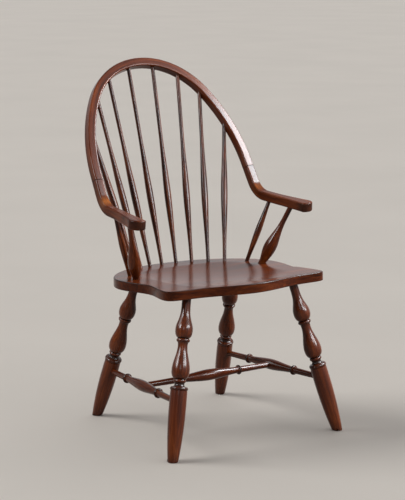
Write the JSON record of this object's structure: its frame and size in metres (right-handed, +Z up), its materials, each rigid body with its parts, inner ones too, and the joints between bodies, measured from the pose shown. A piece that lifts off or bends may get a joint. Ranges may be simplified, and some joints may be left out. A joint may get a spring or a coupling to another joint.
{
  "type": "windsor armchair",
  "caption": "Wooden armchair with a bent bow back that runs into the arms, slim back spindles, a shield-shaped hollowed seat, splayed turned legs and an H-shaped set of stretchers.",
  "frame": {"origin": "on the floor, under the middle of the chair's bounding box", "axes": "+Z is up, -Y is the way the chair faces and +X is to the sitter's left"},
  "size_m": [0.6244, 0.6634, 1.0576],
  "materials": {
    "seat_wood": "reddish brown stain under satin lacquer",
    "bow_wood": "reddish brown stain under satin lacquer",
    "spindle_wood": "reddish brown stain under satin lacquer",
    "post_wood": "reddish brown stain under satin lacquer",
    "leg_wood": "reddish brown stain under satin lacquer",
    "stretcher_wood": "reddish brown stain under satin lacquer",
    "dowel_wood": "plain beech, unstained"
  },
  "bodies": {
    "root": {"seat": "seat_wood", "bow_hoop": "bow_wood", "arm_left": "bow_wood", "arm_right": "bow_wood", "bow_joint_dowels": "dowel_wood", "back_spindle_1": "spindle_wood", "back_spindle_2": "spindle_wood", "back_spindle_3": "spindle_wood", "back_spindle_4": "spindle_wood", "back_spindle_5": "spindle_wood", "back_spindle_6": "spindle_wood", "back_spindle_7": "spindle_wood", "back_spindle_8": "spindle_wood", "arm_spindle_left": "spindle_wood", "arm_spindle_right": "spindle_wood", "arm_post_left": "post_wood", "arm_post_right": "post_wood", "front_leg_left": "leg_wood", "front_leg_right": "leg_wood", "rear_leg_left": "leg_wood", "rear_leg_right": "leg_wood", "side_stretcher_left": "stretcher_wood", "side_stretcher_right": "stretcher_wood", "cross_stretcher": "stretcher_wood"}
  },
  "joints": []
}
